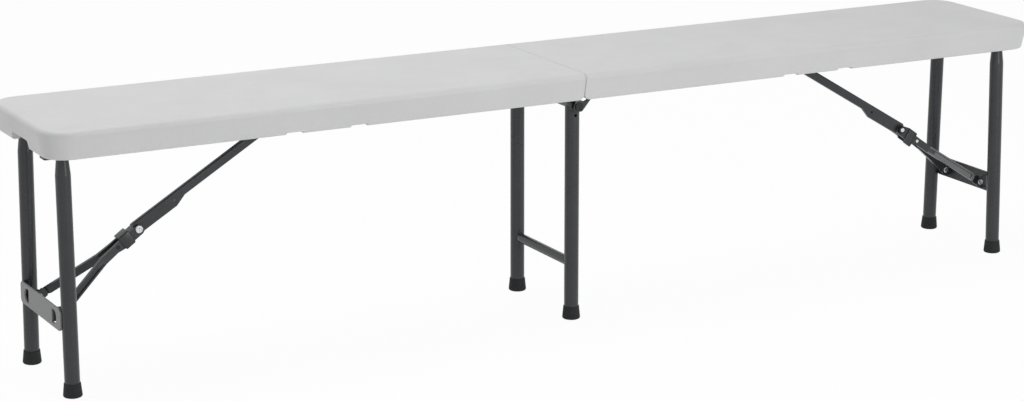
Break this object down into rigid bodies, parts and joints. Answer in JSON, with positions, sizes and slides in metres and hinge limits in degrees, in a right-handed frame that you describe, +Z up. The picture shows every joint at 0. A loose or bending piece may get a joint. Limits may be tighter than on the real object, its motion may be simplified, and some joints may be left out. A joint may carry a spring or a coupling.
{
  "type": "folding bench",
  "caption": "Long folding bench: seat moulded in two hinged halves, splayed steel tube legs at each end with jointed braces, straight middle legs, capped feet.",
  "frame": {"origin": "on the floor, under the middle of the seat", "axes": "+X along the bench to the picture's right, +Y from front to back, +Z up"},
  "size_m": [1.83, 0.284, 0.425],
  "materials": {
    "seat_plastic": "fine-grained pale grey moulded polyethylene",
    "painted_tube": "anthracite powder coat, semi-matt",
    "painted_plate": "mid-grey powder coat, semi-matt",
    "zinc": "bright zinc plate",
    "foot_rubber": "matt black-grey rubber"
  },
  "bodies": {
    "left_half": {"seat_left": "seat_plastic", "rail_strips_left": "painted_tube", "rail_screws_left": "zinc", "side_rail_back_left": "painted_tube", "side_rail_front_left": "painted_tube", "hinge_plate_back_left": "painted_tube", "hinge_plate_front_left": "painted_tube", "hinge_rivets_left": "zinc", "hinge_axle": "zinc", "axle_washers": "zinc", "brace_rod_left": "painted_tube", "rod_collars_left": "painted_tube"},
    "right_half": {"seat_right": "seat_plastic", "rail_strips_right": "painted_tube", "rail_screws_right": "zinc", "side_rail_back_right": "painted_tube", "side_rail_front_right": "painted_tube", "hinge_plate_back_right": "painted_tube", "hinge_plate_front_right": "painted_tube", "hinge_rivets_right": "zinc", "brace_rod_right": "painted_tube", "rod_collars_right": "painted_tube"},
    "middle_legs": {"leg_back_middle": "painted_tube", "leg_front_middle": "painted_tube", "foot_back_middle": "foot_rubber", "foot_front_middle": "foot_rubber", "crossbar_middle": "painted_tube", "sleeve_middle": "painted_tube"},
    "end_legs_left": {"leg_back_left": "painted_tube", "leg_front_left": "painted_tube", "foot_back_left": "foot_rubber", "foot_front_left": "foot_rubber", "leg_pivot_tube_left": "painted_tube", "leg_pivot_pins_left": "zinc", "leg_stop_tabs_left": "painted_tube", "cross_plate_left": "painted_plate", "lug_rivets_left": "zinc"},
    "upper_arm_left": {"brace_upper_arm_left": "painted_tube", "brace_saddle_left": "painted_tube"},
    "lower_arms_left": {"brace_lower_arm_back_left": "painted_tube", "brace_lower_arm_front_left": "painted_tube", "brace_screw_left": "zinc", "brace_nut_left": "zinc", "arm_rivets_left": "zinc"},
    "end_legs_right": {"leg_back_right": "painted_tube", "leg_front_right": "painted_tube", "foot_back_right": "foot_rubber", "foot_front_right": "foot_rubber", "leg_pivot_tube_right": "painted_tube", "leg_pivot_pins_right": "zinc", "leg_stop_tabs_right": "painted_tube", "cross_plate_right": "painted_plate", "lug_rivets_right": "zinc"},
    "upper_arm_right": {"brace_upper_arm_right": "painted_tube", "brace_saddle_right": "painted_tube"},
    "lower_arms_right": {"brace_lower_arm_back_right": "painted_tube", "brace_lower_arm_front_right": "painted_tube", "brace_screw_right": "zinc", "brace_nut_right": "zinc", "arm_rivets_right": "zinc"}
  },
  "joints": [
    {"name": "centre_fold", "type": "hinge", "parent": "left_half", "child": "right_half", "pos_m": [0, 0, 0.366], "axis": [0, 1, 0], "range_deg": [0, 180]},
    {"name": "middle_legs_fold", "type": "hinge", "parent": "left_half", "child": "middle_legs", "pos_m": [0, 0, 0.366], "axis": [0, 1, 0], "range_deg": [0, 90]},
    {"name": "end_legs_fold_left", "type": "hinge", "parent": "left_half", "child": "end_legs_left", "pos_m": [-0.873, 0, 0.4], "axis": [0, -1, 0], "range_deg": [0, 90]},
    {"name": "upper_arm_swing_left", "type": "hinge", "parent": "left_half", "child": "upper_arm_left", "pos_m": [-0.43852, 0, 0.398], "axis": [0, 1, 0], "range_deg": [0, 32.08]},
    {"name": "lower_arms_swing_left", "type": "hinge", "parent": "end_legs_left", "child": "lower_arms_left", "pos_m": [-0.872, 0, 0.1215], "axis": [0, -1, 0], "range_deg": [0, 53.45]},
    {"name": "end_legs_fold_right", "type": "hinge", "parent": "right_half", "child": "end_legs_right", "pos_m": [0.873, 0, 0.4], "axis": [0, 1, 0], "range_deg": [0, 90]},
    {"name": "upper_arm_swing_right", "type": "hinge", "parent": "right_half", "child": "upper_arm_right", "pos_m": [0.43852, 0, 0.398], "axis": [0, -1, 0], "range_deg": [0, 32.08]},
    {"name": "lower_arms_swing_right", "type": "hinge", "parent": "end_legs_right", "child": "lower_arms_right", "pos_m": [0.872, 0, 0.1215], "axis": [0, 1, 0], "range_deg": [0, 53.45]}
  ],
  "couplings": [
    {"joint": "middle_legs_fold", "follows": "centre_fold", "ratio": 0.5},
    {"joint": "end_legs_fold_left", "follows": "centre_fold", "ratio": 0.5},
    {"joint": "upper_arm_swing_left", "follows": "centre_fold", "ratio": 0.17815},
    {"joint": "lower_arms_swing_left", "follows": "centre_fold", "ratio": 0.29686},
    {"joint": "end_legs_fold_right", "follows": "centre_fold", "ratio": 0.5},
    {"joint": "upper_arm_swing_right", "follows": "centre_fold", "ratio": 0.17815},
    {"joint": "lower_arms_swing_right", "follows": "centre_fold", "ratio": 0.29686}
  ]
}
